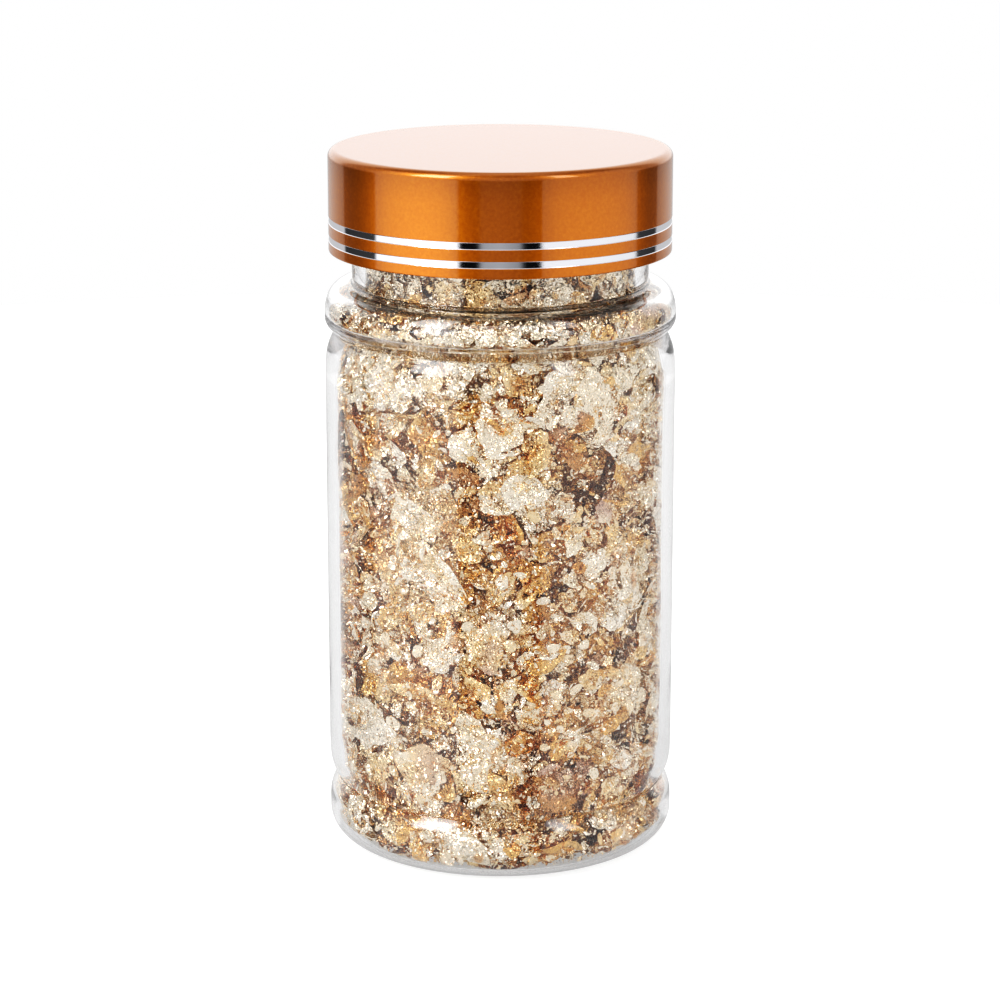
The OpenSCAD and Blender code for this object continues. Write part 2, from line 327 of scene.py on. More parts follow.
def bare_inside():
    m, nt, b = material("shell_inside")
    v = coords(nt)
    n = noise(nt, v, 1500.0, 3.0, 0.6)
    c = ramp(nt, n.outputs["Fac"], [(0.3, (0.62, 0.60, 0.57)), (0.7, (0.76, 0.74, 0.70))])
    nt.links.new(c.outputs["Color"], b.inputs["Base Color"])
    b.inputs["Metallic"].default_value = 1.0
    b.inputs["Roughness"].default_value = 0.38
    return m


def white_plastic():
    m, nt, b = material("moulded_white_plastic")
    v = coords(nt)
    n = noise(nt, v, 220.0, 4.0, 0.55)
    c = ramp(nt, n.outputs["Fac"], [(0.25, (0.80, 0.80, 0.79)), (0.75, (0.88, 0.88, 0.87))])
    nt.links.new(c.outputs["Color"], b.inputs["Base Color"])
    rr = node(nt, "ShaderNodeMapRange", {"Value": noise(nt, v, 1800.0, 2.0).outputs["Fac"], "To Min": 0.28, "To Max": 0.46})
    nt.links.new(rr.outputs[0], b.inputs["Roughness"])
    b.inputs["Subsurface Weight"].default_value = 0.15
    b.inputs["Subsurface Radius"].default_value = (0.002, 0.002, 0.002)
    nt.links.new(bump(nt, noise(nt, v, 3200.0, 2.0).outputs["Fac"], 0.12, 0.00002), b.inputs["Normal"])
    return m


def foam():
    m, nt, b = material("closed_cell_foam")
    v = coords(nt)
    cell = node(nt, "ShaderNodeTexVoronoi", {"Vector": v, "Scale": 2600.0}, feature="DISTANCE_TO_EDGE")
    c = ramp(nt, cell.outputs["Distance"], [(0.0, (0.80, 0.80, 0.77)), (0.25, (0.90, 0.90, 0.88))])
    nt.links.new(c.outputs["Color"], b.inputs["Base Color"])
    b.inputs["Roughness"].default_value = 0.7
    b.inputs["Subsurface Weight"].default_value = 0.2
    b.inputs["Subsurface Radius"].default_value = (0.001, 0.001, 0.001)
    nt.links.new(bump(nt, cell.outputs["Distance"], 0.5, 0.00006), b.inputs["Normal"])
    return m


def leaf(name, tones, facets, rough_lo, rough_hi, shade_patch_at=0.60, shade_patch_tone=(0.80, 0.60, 0.45), share=0.45):
    """Imitation gold leaf: mirror-bright metal, each scrap a little different in tone, crinkled into small flat facets.
    Noise patches darken it towards orange-brown, a painted shade standing for flakes that lie in shadow.
    facets is (cells per metre, tilt) for each size of crinkle."""
    m, nt, b = material(name)
    geo = nt.nodes.new("ShaderNodeNewGeometry")
    v = coords(nt)
    drift = noise(nt, v, 75.0, 2.0, 0.55)
    wide = node(nt, "ShaderNodeMapRange", {"Value": drift.outputs["Fac"], "From Min": 0.34, "From Max": 0.66, "To Min": 0.0, "To Max": share})
    own = node(nt, "ShaderNodeMath", {0: geo.outputs["Random Per Island"], 1: 1.0 - share}, operation="MULTIPLY")
    pick = node(nt, "ShaderNodeMath", {0: own.outputs[0], 1: wide.outputs[0]}, operation="ADD")
    base = ramp(nt, pick.outputs[0], tones)
    # painted shade: noise patches darken the leaf towards orange-brown, standing for flakes that lie in shadow
    patch = noise(nt, v, 190.0, 3.0, 0.65, 0.6)
    painted_shade_patch = ramp(nt, patch.outputs["Fac"], [(shade_patch_at, 0.0), (shade_patch_at + 0.06, 1.0)])
    mix = node(nt, "ShaderNodeMix", data_type="RGBA", blend_type="MULTIPLY")
    nt.links.new(painted_shade_patch.outputs["Color"], mix.inputs[0])
    nt.links.new(base.outputs["Color"], mix.inputs[6])
    mix.inputs[7].default_value = (*shade_patch_tone, 1)
    nt.links.new(mix.outputs[2], b.inputs["Base Color"])
    b.inputs["Metallic"].default_value = 1.0
    warp = noise(nt, v, 700.0, 2.0, 0.6)
    bent = node(nt, "ShaderNodeVectorMath", {0: warp.outputs["Color"]}, operation="SCALE")
    bent.inputs["Scale"].default_value = 0.0011
    moved = node(nt, "ShaderNodeVectorMath", {0: v, 1: bent.outputs[0]}, operation="ADD")
    normal = geo.outputs["Normal"]
    for i, (cells, tilt) in enumerate(facets):
        stretch = ((0.5, 1.7, 1.1), (1.7, 0.5, 1.1), (1.0, 0.7, 1.3))[i % 3]
        turn = node(nt, "ShaderNodeMapping", {"Vector": moved.outputs[0], "Scale": stretch, "Rotation": (0.5 * i + 0.3, 0.9 * i, 0.4)})
        cell = node(nt, "ShaderNodeTexVoronoi", {"Vector": turn.outputs[0], "Scale": cells}, feature="F1")
        off = node(nt, "ShaderNodeVectorMath", {0: cell.outputs["Color"]}, operation="SUBTRACT")
        off.inputs[1].default_value = (0.5, 0.5, 0.5)
        amt = node(nt, "ShaderNodeVectorMath", {0: off.outputs[0]}, operation="SCALE")
        amt.inputs["Scale"].default_value = tilt
        normal = node(nt, "ShaderNodeVectorMath", {0: normal, 1: amt.outputs[0]}, operation="ADD").outputs[0]
    unit = node(nt, "ShaderNodeVectorMath", {0: normal}, operation="NORMALIZE")
    nt.links.new(unit.outputs[0], b.inputs["Normal"])
    fine = noise(nt, v, 2400.0, 2.0, 0.6, 0.4)
    rr = node(nt, "ShaderNodeMapRange", {"Value": fine.outputs["Fac"], "From Min": 0.3, "From Max": 0.7, "To Min": rough_lo, "To Max": rough_hi})
    nt.links.new(rr.outputs[0], b.inputs["Roughness"])
    return m


MAT_CLEAR, MAT_PAINT, MAT_CUT, MAT_INSIDE, MAT_WHITE, MAT_FOAM = clear_plastic(), cap_paint(), bright_cut(), bare_inside(), white_plastic(), foam()
# PALE, CHAMPAGNE and GOLD are the leaf's own tones. AMBER, BROWN and MAUVE are darker tones: partly the leaf's real
# spread of tone, partly painted shade for scraps that lie in shadow and mirror dark surroundings.
PALE, CHAMPAGNE, GOLD, AMBER = (0.96, 0.88, 0.76), (0.94, 0.81, 0.62), (0.91, 0.69, 0.41), (0.82, 0.50, 0.20)
MAUVE, BROWN = (0.64, 0.45, 0.36), (0.62, 0.32, 0.12)
CRINKLE = [(700.0, 0.42), (2400.0, 0.72), (5200.0, 0.85)]
MAT_LEAF_L = leaf("gold_leaf_large", [(0.0, PALE), (0.35, CHAMPAGNE), (0.55, PALE), (0.68, CHAMPAGNE), (0.78, GOLD), (0.9, MAUVE), (1.0, CHAMPAGNE)], CRINKLE, 0.05, 0.13)
MAT_LEAF_M = leaf("gold_leaf_medium", [(0.0, PALE), (0.30, CHAMPAGNE), (0.48, PALE), (0.6, GOLD), (0.72, AMBER), (0.82, BROWN), (0.9, MAUVE), (1.0, GOLD)], CRINKLE, 0.05, 0.13)
# painted light: the neck scraps get paler, brighter tones than the rest of the leaf, to make up for the shade the cap
# casts on the neck
MAT_LEAF_NECK_LIT = leaf("gold_leaf_neck_painted_light", [(0.0, (0.99, 0.90, 0.74)), (0.4, CHAMPAGNE), (0.6, (0.99, 0.91, 0.77)), (0.75, GOLD), (0.85, AMBER), (1.0, CHAMPAGNE)], CRINKLE, 0.10, 0.24, 0.66)
# painted shade: the scraps that lie deeper in from the wall get darker amber, brown and mauve tones than the outer
# ones, standing for the shade they lie in
MAT_LEAF_DEEP_SHADED = leaf("gold_leaf_deep_painted_shade", [(0.0, CHAMPAGNE), (0.3, GOLD), (0.5, AMBER), (0.7, BROWN), (0.85, MAUVE), (1.0, AMBER)], CRINKLE, 0.12, 0.26)
MAT_LEAF_S = leaf("gold_leaf_small", [(0.0, PALE), (0.5, CHAMPAGNE), (0.75, GOLD), (0.9, AMBER), (1.0, PALE)], [(2400.0, 0.5), (5200.0, 0.4)], 0.08, 0.2, 0.66)
MAT_DUST = leaf("gold_leaf_dust", [(0.0, PALE), (0.6, CHAMPAGNE), (0.85, GOLD), (1.0, PALE)], [(5200.0, 0.3)], 0.08, 0.2, 0.7, share=0.2)
# painted shade: the mass behind the scraps is tinted amber and brown, darker than the outer leaf, standing for the dim
# interior of the filling seen through the gaps
MAT_MASS_SHADED = leaf("gold_leaf_mass_painted_shade", [(0.0, CHAMPAGNE), (0.35, GOLD), (0.6, AMBER), (0.8, BROWN), (1.0, GOLD)], CRINKLE, 0.14, 0.28, share=1.0)

# ---------------------------------------------------------------- jar
thread_zone = (THREAD_LOW - 1.4, THREAD_LOW + PITCH * TURNS + 1.4)


def neck_push(th, r, z):
    if abs(r - NECK_R) > 0.02 or not thread_zone[0] < z < thread_zone[1]:
        return np.zeros_like(th)
    return thread_height(th, z, THREAD_LOW, 1.05, 0.45, 1.0)


rows_out = thin(out_line, 5.0, lambda p: 0.16 if abs(p[0] - NECK_R) < 0.02 and thread_zone[0] < p[1] < thread_zone[1] else 4.0)
rows_in = thin(in_line, 5.0, 4.0)
jar_line = np.r_[rows_out, rows_in[1:] if np.allclose(rows_out[-1], rows_in[0]) else rows_in]
jar = lathe("jar_clear", jar_line, 192, [MAT_CLEAR], "jar", neck_push)
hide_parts("jar_body")

# ---------------------------------------------------------------- cap shell
SHELL_T, EDGE_R = 0.45, 1.0
RING_LOW, RING_STEP, RING_W, RING_CUT = 1.32, 2.32, 0.84, 0.08
ring = []
for k in (0, 1):
    z = CAP_Z0 + RING_LOW + k * RING_STEP
    ring += [(CAP_R, z - 0.1), (CAP_R, z - 0.02), (CAP_R - 0.02, z + 0.005), (CAP_R - RING_CUT, z + 0.03), (CAP_R - RING_CUT, z + 0.07), (CAP_R - RING_CUT, z + RING_W / 2),
             (CAP_R - RING_CUT, z + RING_W - 0.07), (CAP_R - RING_CUT, z + RING_W - 0.03), (CAP_R - 0.02, z + RING_W - 0.005), (CAP_R, z + RING_W + 0.02), (CAP_R, z + RING_W + 0.1)]
hem = [(CAP_R - SHELL_T, CAP_Z0 + 1.0), (CAP_R - SHELL_T, CAP_Z0 + 0.22), (CAP_R - SHELL_T + 0.05, CAP_Z0 + 0.06), (CAP_R - SHELL_T + 0.16, CAP_Z0),
       (CAP_R - 0.14, CAP_Z0), (CAP_R - 0.04, CAP_Z0 + 0.05), (CAP_R, CAP_Z0 + 0.16), (CAP_R, CAP_Z0 + 0.26), (CAP_R, CAP_Z0 + 0.6)]
top = [(CAP_R, CAP_Z1 - EDGE_R - 3.5), (CAP_R, CAP_Z1 - EDGE_R - 0.5), (CAP_R, CAP_Z1 - EDGE_R - 0.15)]
top += [(CAP_R - EDGE_R + EDGE_R * math.cos(a), CAP_Z1 - EDGE_R + EDGE_R * math.sin(a)) for a in np.linspace(0, math.pi / 2, 19)]
top += [(CAP_R - EDGE_R - 0.15, CAP_Z1), (CAP_R - EDGE_R - 0.6, CAP_Z1), (CAP_R - 4, CAP_Z1), (CAP_R - 10, CAP_Z1), (CAP_R - 16, CAP_Z1), (0, CAP_Z1)]
under = [(0, CAP_Z1 - SHELL_T), (CAP_R - 4, CAP_Z1 - SHELL_T)]
under += [(CAP_R - EDGE_R + (EDGE_R - SHELL_T) * math.cos(a), CAP_Z1 - EDGE_R + (EDGE_R - SHELL_T) * math.sin(a)) for a in np.linspace(math.pi / 2, 0, 7)]
shell_line = np.array(hem + ring + top)
n_outside = len(shell_line)


def shell_mat(i, mid):
    r, z = mid
    for k in (0, 1):
        low = CAP_Z0 + RING_LOW + k * RING_STEP
        if r < CAP_R - 0.003 and r > CAP_R - 0.2 and low - 0.02 < z < low + RING_W + 0.02:
            return 1
    return 2 if r < CAP_R - SHELL_T + 0.01 and z < CAP_Z1 - 0.3 else 0


# the shell is open below: its outside runs from the hem up to the axis, its inside from the axis back down to the hem
def open_shell(name, up, down, seg, mats, body, row_mat):
    th = np.linspace(0, 2 * math.pi, seg, endpoint=False)
    loop = np.r_[up[:-1], down[1:]]
    n = len(loop)
    verts = np.concatenate([np.c_[r * np.cos(th), r * np.sin(th), np.full(seg, z)] for r, z in loop])
    pole_up, pole_down = len(verts), len(verts) + 1
    verts = np.r_[verts, [[0, 0, up[-1][1]], [0, 0, down[0][1]]]]
    j = np.arange(seg)
    k = (j + 1) % seg
    split = len(up) - 2
    faces, fm = [], []
    for i in range(n):
        a, b = i * seg, ((i + 1) % n) * seg
        if i == split:
            faces += np.c_[a + j, a + k, np.full(seg, pole_up)].tolist()
            faces += np.c_[np.full(seg, pole_down), b + k, b + j].tolist()
            fm += [row_mat(i, loop[i])] * seg + [row_mat(i, loop[(i + 1) % n] - np.array([0.5, 0]))] * seg
            continue
        faces += np.c_[a + j, a + k, b + k, b + j].tolist()
        fm += [row_mat(i, 0.5 * (loop[i] + loop[(i + 1) % n]))] * seg
    return new_object(name, verts, faces, mats, body, face_mats=fm)


cap = open_shell("cap_skin", shell_line, np.array(under), 256, [MAT_PAINT, MAT_CUT, MAT_INSIDE], "cap", shell_mat)
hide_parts("cap_shell")

# ---------------------------------------------------------------- threaded insert
BORE_R = INS_R - 1.1
PANEL_Z = INS_Z1 - 1.1
insert_low = THREAD_LOW - 1.5
zone = (insert_low - 1.3, insert_low + PITCH * TURNS + 1.3)
ins_up = [(BORE_R + 0.3, INS_Z0), (INS_R - 0.15, INS_Z0), (INS_R, INS_Z0 + 0.15), (INS_R, INS_Z1 - 0.8), (INS_R - 0.1, INS_Z1 - 0.5), (INS_R - 0.8, INS_Z1), (0, INS_Z1)]
ins_down = [(0, PANEL_Z), (BORE_R - 0.3, PANEL_Z), (BORE_R, PANEL_Z - 0.1), (BORE_R, LIN_Z0 - 0.05), (BORE_R - 0.25, LIN_Z0 - 0.3), (BORE_R, LIN_Z0 - 0.6)]
ins_down += [(BORE_R, z) for z in np.arange(LIN_Z0 - 0.8, INS_Z0 + 0.3, -0.17)] + [(BORE_R, INS_Z0 + 0.3)]


def insert_shell():
    th = np.linspace(0, 2 * math.pi, 192, endpoint=False)
    seg = len(th)
    up, down = np.array(ins_up), np.array(ins_down)
    loop = np.r_[up[:-1], down[1:]]
    rows = []
    for r, z in loop:
        rr = np.full(seg, r)
        if abs(r - BORE_R) < 1e-6 and zone[0] < z < zone[1]:
            rr = rr - thread_height(th, z, insert_low, 1.0, 0.4, 1.15)
        rows.append(np.c_[rr * np.cos(th), rr * np.sin(th), np.full(seg, z)])
    verts = np.r_[np.concatenate(rows), [[0, 0, up[-1][1]], [0, 0, down[0][1]]]]
    pole_up, pole_down = len(verts) - 2, len(verts) - 1
    j = np.arange(seg)
    k = (j + 1) % seg
    split, n, faces = len(up) - 2, len(loop), []
    for i in range(n):
        a, b = i * seg, ((i + 1) % n) * seg
        if i == split:
            faces += np.c_[a + j, a + k, np.full(seg, pole_up)].tolist() + np.c_[np.full(seg, pole_down), b + k, b + j].tolist()
        else:
            faces += np.c_[a + j, a + k, b + k, b + j].tolist()
    return new_object("cap_inner", verts, faces, [MAT_WHITE], "cap")


inner_cap = insert_shell()
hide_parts("cap_insert")

# ---------------------------------------------------------------- liner: a foam disc with a softly rolled edge and the ring that the lip presses into it
liner_pts = [(0, LIN_Z0), (MOUTH_R - 0.3, LIN_Z0), (MOUTH_R + 0.1, LIN_Z0 + 0.03), (NECK_R - 0.1, LIN_Z0 + 0.03), (NECK_R + 0.2, LIN_Z0), (LIN_R - 0.2, LIN_Z0),
             (LIN_R - 0.05, LIN_Z0 + 0.06), (LIN_R, LIN_Z0 + 0.25), (LIN_R, LIN_Z1 - 0.25), (LIN_R - 0.05, LIN_Z1 - 0.06), (LIN_R - 0.2, LIN_Z1), (0, LIN_Z1)]
liner = lathe("liner_disc", thin(smooth(dense(liner_pts, 0.05), 1.5), 12, 3.0), 160, [MAT_FOAM], "liner")
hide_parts("cap_liner")

# ---------------------------------------------------------------- the flakes
# Each scrap lies against, or some way in from, the jar's inside wall. l runs along that wall, from the middle of the floor
# out, round the heel and up into the neck, and depth is measured in from it.
wall = in_line[::-1]
wall = wall[wall[:, 1] < 86.0]
run = np.r_[0, np.cumsum(np.hypot(*np.diff(wall, axis=0).T))]
tangent = np.gradient(wall, run, axis=0)
tangent = smooth(tangent, 12)
tangent /= np.hypot(*tangent.T)[:, None]
inward = np.c_[-tangent[:, 1], tangent[:, 0]]


def on_wall(theta, l, depth):
    r = np.interp(l, run, wall[:, 0]) + np.interp(l, run, inward[:, 0]) * depth
    z = np.interp(l, run, wall[:, 1]) + np.interp(l, run, inward[:, 1]) * depth
    return r * np.cos(theta), r * np.sin(theta), z


FILL_Z = 79.3
l_top = float(np.interp(FILL_Z - 0.5, wall[:, 1][run > 30], run[run > 30]))


def tri(x):
    return np.abs((x % 2.0) - 1.0)


def disc_grid(n):
    """An n by n grid pulled into a disc of radius 1, so that an outline can shape it."""
    g = np.linspace(-1, 1, n)
    x, y = np.meshgrid(g, g)
    u = x * np.sqrt(1 - y * y / 2)
    v = y * np.sqrt(1 - x * x / 2)
    i = np.arange(n - 1)
    a = (i[:, None] * n + i[None, :]).ravel()
    return u.ravel(), v.ravel(), np.c_[a, a + 1, a + n + 1, a + n]


def scraps(seed, count, n, size, depth, tilt, crumple, folds, l_range, press=0.15):
    """count leaf scraps on n by n grids. size, depth and tilt are (low, high); returns verts and quads."""
    rng = np.random.default_rng(seed)
    u, v, quads = disc_grid(n)
    # centres, spread evenly over the wall's area
    ls = np.linspace(l_range[0], l_range[1], 600)
    area = np.maximum(np.interp(ls, run, wall[:, 0]), 0.5)
    cdf = np.cumsum(area) / area.sum()
    l0 = np.interp(rng.random(count), cdf, ls)[:, None]
    th0 = rng.uniform(0, 2 * math.pi, count)[:, None]
    s = size[0] + (size[1] - size[0]) * rng.random(count)[:, None] ** 1.6
    stretch = rng.uniform(0.55, 1.0, count)[:, None]
    phi = np.arctan2(v, u)[None, :]
    edge = np.ones((count, len(u)))
    for h, amp in ((2, 0.16), (3, 0.16), (5, 0.10), (9, 0.07)):
        edge += amp * rng.uniform(-1, 1, count)[:, None] * np.cos(h * phi + rng.uniform(0, 6.3, count)[:, None])
    edge += 0.07 * (rng.random((count, len(u))) - 0.5) * (np.hypot(u, v)[None, :] > 0.85)
    p = u[None, :] * s * edge
    q = v[None, :] * s * edge * stretch
    # inner points wander, so that folds don't follow the grid
    p = p + rng.normal(0, 0.16, p.shape) * s / n * (np.hypot(u, v)[None, :] < 0.9)
    q = q + rng.normal(0, 0.16, q.shape) * s / n * (np.hypot(u, v)[None, :] < 0.9)
    lift = np.zeros_like(p)
    for k in range(folds):
        b = rng.uniform(0, math.pi, count)[:, None]
        wave = rng.uniform(1.0, 3.2, count)[:, None] * (0.75 ** k) * np.clip(s / 3.0, 0.35, 1.6)
        line = (p * np.cos(b) + q * np.sin(b)) / wave + rng.uniform(0, 2, count)[:, None]
        bend = 0.35 * np.sin((q * np.cos(b) - p * np.sin(b)) / (wave * 1.3) + rng.uniform(0, 6.3, count)[:, None])
        lift += tri(line + bend) * wave * rng.uniform(0.3, 1.0, count)[:, None] * crumple
    lift -= lift.mean(1, keepdims=True)
    lift += rng.normal(0, 0.02, lift.shape) * np.clip(s, 0.5, 3)
    a = rng.uniform(0, 2 * math.pi, count)[:, None]
    along, up = p * np.cos(a) - q * np.sin(a), p * np.sin(a) + q * np.cos(a)
    slope = tilt[0] + (tilt[1] - tilt[0]) * rng.random(count)[:, None] ** 1.5
    way = rng.uniform(0, 2 * math.pi, count)[:, None]
    d0 = depth[0] + (depth[1] - depth[0]) * rng.random(count)[:, None]
    d = d0 + slope * (along * np.cos(way) + up * np.sin(way)) + lift
    d = 0.10 + press * np.logaddexp(0, (d - 0.10) / press)
    # a steep scrap is foreshortened along the wall
    c = 1 / np.sqrt(1 + slope ** 2)
    flat = along * np.cos(way) + up * np.sin(way)
    along, up = along - flat * np.cos(way) * (1 - c), up - flat * np.sin(way) * (1 - c)
    d = np.minimum(d, 13.0)
    l = l0 + up
    over = l > l_top + 0.6
    l = np.where(over, l_top + 0.6 + (l - l_top - 0.6) * 0.15, l)
    l = np.clip(l, 0.5, run[-1])
    r0 = np.maximum(np.interp(l0, run, wall[:, 0]) - d0, 3.0)
    x, y, z = on_wall(th0 + along / r0, l, d)
    verts = np.stack([x, y, z], -1).reshape(-1, 3)
    faces = (quads[None] + (np.arange(count) * n * n)[:, None, None]).reshape(-1, 4)
    return verts, faces


def heap(seed, count, n, size, z_range, radius, crumple, folds):
    """Loose scraps at the top of the filling, inside the mouth."""
    rng = np.random.default_rng(seed)
    u, v, quads = disc_grid(n)
    rad = radius * np.sqrt(rng.random(count))[:, None]
    th = rng.uniform(0, 2 * math.pi, count)[:, None]
    s = rng.uniform(size[0], size[1], count)[:, None]
    phi = np.arctan2(v, u)[None, :]
    edge = 1 + sum(amp * rng.uniform(-1, 1, count)[:, None] * np.cos(h * phi + rng.uniform(0, 6.3, count)[:, None]) for h, amp in ((2, .16), (3, .16), (5, .1)))
    p, q = u[None, :] * s * edge, v[None, :] * s * edge * rng.uniform(0.6, 1, count)[:, None]
    lift = np.zeros_like(p)
    for k in range(folds):
        b = rng.uniform(0, math.pi, count)[:, None]
        wave = rng.uniform(1.0, 3.0, count)[:, None] * (0.75 ** k) * np.clip(s / 3, 0.35, 1.5)
        lift += tri((p * np.cos(b) + q * np.sin(b)) / wave + rng.uniform(0, 2, count)[:, None]) * wave * rng.uniform(.3, 1, count)[:, None] * crumple
    lift -= lift.mean(1, keepdims=True)
    P = np.stack([p, q, lift], -1)
    ax, ay = rng.normal(0, 0.5, count), rng.normal(0, 0.5, count)
    az = rng.uniform(0, 6.3, count)
    cx, sx, cy, sy, cz, sz = np.cos(ax), np.sin(ax), np.cos(ay), np.sin(ay), np.cos(az), np.sin(az)
    R = np.stack([np.stack([cz * cy, cz * sy * sx - sz * cx, cz * sy * cx + sz * sx], -1),
                  np.stack([sz * cy, sz * sy * sx + cz * cx, sz * sy * cx - cz * sx], -1),
                  np.stack([-sy, cy * sx, cy * cx], -1)], -2)
    P = np.einsum("nij,nkj->nki", R, P)
    P[..., 0] += rad * np.cos(th)
    P[..., 1] += rad * np.sin(th)
    P[..., 2] += rng.uniform(z_range[0], z_range[1], count)[:, None]
    rr = np.hypot(P[..., 0], P[..., 1])
    k = np.minimum(1, (MOUTH_R - 0.35) / np.maximum(rr, 1e-6))
    P[..., 0] *= k
    P[..., 1] *= k
    P[..., 2] = np.minimum(P[..., 2], FILL_Z + 0.1)
    faces = (quads[None] + (np.arange(count) * n * n)[:, None, None]).reshape(-1, 4)
    return P.reshape(-1, 3), faces


def join(*parts):
    verts, faces, base = [], [], 0
    for v, f in parts:
        verts.append(v)
        faces.append(f + base)
        base += len(v)
    return np.concatenate(verts), np.concatenate(faces)


WALL_RANGE = (2.0, l_top)


def dust(seed, count, size, depth, l_range):
    """Tiny four-sided specks that cling to the wall."""
    rng = np.random.default_rng(seed)
    ls = np.linspace(l_range[0], l_range[1], 600)
    area = np.maximum(np.interp(ls, run, wall[:, 0]), 0.5)
    l0 = np.interp(rng.random(count), np.cumsum(area) / area.sum(), ls)[:, None]
    th0 = rng.uniform(0, 2 * math.pi, count)[:, None]
    s = (size[0] + (size[1] - size[0]) * rng.random(count) ** 2.2)[:, None]
    ang = np.array([0, 0.5, 1, 1.5])[None] * math.pi + rng.uniform(-0.5, 0.5, (count, 4)) + rng.uniform(0, 6.3, count)[:, None]
    rad = s * rng.uniform(0.55, 1.2, (count, 4))
    p, q = rad * np.cos(ang), rad * np.sin(ang)
    slope, way = rng.uniform(0, 1.2, count)[:, None], rng.uniform(0, 6.3, count)[:, None]
    d = depth[0] + (depth[1] - depth[0]) * rng.random(count)[:, None] ** 1.5 + s * slope + slope * (p * np.cos(way) + q * np.sin(way))
    d = np.maximum(d, 0.03)
    x, y, z = on_wall(th0 + p / np.maximum(np.interp(l0, run, wall[:, 0]), 2.0), np.clip(l0 + q, 0.3, run[-1]), d)
    return np.stack([x, y, z], -1).reshape(-1, 3), np.arange(count * 4).reshape(-1, 4)


def core(seed, rows, seg, l_range, deep):
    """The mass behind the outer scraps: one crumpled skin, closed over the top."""
    rng = np.random.default_rng(seed)
    l = np.linspace(l_range[0], l_range[1], rows)[:, None]
    th = np.linspace(0, 2 * math.pi, seg, endpoint=False)[None, :]
    d = np.full((rows, seg), deep)
    for k in range(26):
        wave = rng.uniform(1.5, 9.0)
        turns = int(round(rng.uniform(-1, 1) * 2 * math.pi * 20 / wave))
        rise = 2 * math.pi / wave * rng.uniform(-1, 1)
        phase = (turns * th + rise * l + rng.uniform(0, 6.3)) / math.pi + 0.3 * np.sin(3 * th + l / 5 + k)
        d += (tri(phase) - 0.5) * wave * 0.09
    d += rng.normal(0, 0.12, d.shape)
    d = np.clip(d, 0.7, 4.5)
    l = l + rng.normal(0, 0.15, d.shape)
    th = th + rng.normal(0, 0.007, d.shape)
    x, y, z = on_wall(th, l, d)
    z = np.minimum(z, FILL_Z - 0.6)
    verts = np.r_[np.stack([x, y, z], -1).reshape(-1, 3), [[0, 0, z[0].mean()], [0, 0, FILL_Z - 1.2]]]
    i, j = np.meshgrid(np.arange(rows - 1), np.arange(seg), indexing="ij")
    a, k = i * seg + j, i * seg + (j + 1) % seg
    quads = np.stack([a, k, k + seg, a + seg], -1).reshape(-1, 4).tolist()
    jj = np.arange(seg)
    kk = (jj + 1) % seg
    top = (rows - 1) * seg
    quads += np.c_[kk, jj, np.full(seg, rows * seg)].tolist() + np.c_[top + jj, top + kk, np.full(seg, rows * seg + 1)].tolist()
    return verts, quads


big = join(scraps(11, 190, 14, (2.4, 5.4), (0.15, 1.4), (0.0, 0.45), 0.34, 5, WALL_RANGE),
           heap(13, 40, 11, (3.0, 5.0), (76.0, 78.6), 13.0, 0.3, 3))
l_neck = float(np.interp(SHOULDER_Z - 1.5, wall[:, 1][run > 30], run[run > 30]))
neck_bits = scraps(25, 900, 7, (0.8, 2.1), (0.08, 0.7), (0.0, 0.7), 0.3, 3, (l_neck - 10.0, l_top))
medium_a = join(scraps(21, 1280, 7, (0.9, 2.3), (0.15, 1.8), (0.0, 1.2), 0.40, 4, WALL_RANGE),
                heap(23, 140, 7, (1.2, 2.6), (76.5, 78.8), 15.0, 0.35, 3))
medium_b = scraps(22, 700, 9, (1.8, 4.2), (0.8, 2.2), (0.0, 0.8), 0.34, 4, WALL_RANGE)
small = join(scraps(31, 7500, 4, (0.25, 1.0), (0.08, 1.6), (0.0, 1.8), 0.40, 3, WALL_RANGE, 0.06),
             heap(33, 400, 4, (0.4, 1.2), (77.5, 79.0), 16.3, 0.3, 2))
specks = join(dust(41, 52000, (0.05, 0.26), (0.03, 0.5), (1.0, l_top)), dust(42, 5000, (0.05, 0.2), (0.03, 0.2), (l_top, run[-1] - 0.3)))
leaf_big = new_object("leaf_scraps_large", *big, [MAT_LEAF_L], "jar", smooth_shade=False)
leaf_med = new_object("leaf_scraps_medium", *medium_a, [MAT_LEAF_M], "jar", smooth_shade=False)
leaf_deep = new_object("leaf_scraps_deep", *medium_b, [MAT_LEAF_DEEP_SHADED], "jar", smooth_shade=False)
leaf_neck = new_object("leaf_scraps_neck", *neck_bits, [MAT_LEAF_NECK_LIT], "jar", smooth_shade=False)
leaf_sml = new_object("leaf_scraps_small", *small, [MAT_LEAF_S], "jar", smooth_shade=False)
leaf_mass = new_object("leaf_mass", *core(51, 170, 230, (3.0, l_top - 0.4), 2.1), [MAT_MASS_SHADED], "jar", smooth_shade=False)
leaf_dust = new_object("leaf_dust", *specks, [MAT_DUST], "jar", smooth_shade=False)
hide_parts("leaf_large")
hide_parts("leaf_medium")
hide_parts("leaf_small")

# ---------------------------------------------------------------- camera
ELEV, DIST, TARGET_Z = math.radians(14.372), 0.43413, 0.04474
cam_data = bpy.data.cameras.new("camera")
cam_data.sensor_width = 36.0
cam_data.lens = 120.13
cam_data.shift_x = -0.0003
cam_data.clip_start, cam_data.clip_end = 0.01, 20
cam = bpy.data.objects.new("camera", cam_data)
bpy.context.scene.collection.objects.link(cam)
back = Vector((0, -math.cos(ELEV), math.sin(ELEV)))
cam.location = Vector((0, 0, TARGET_Z)) + back * DIST
cam.rotation_mode = "QUATERNION"
cam.rotation_quaternion = (-back).to_track_quat("-Z", "Y")
bpy.context.scene.camera = cam

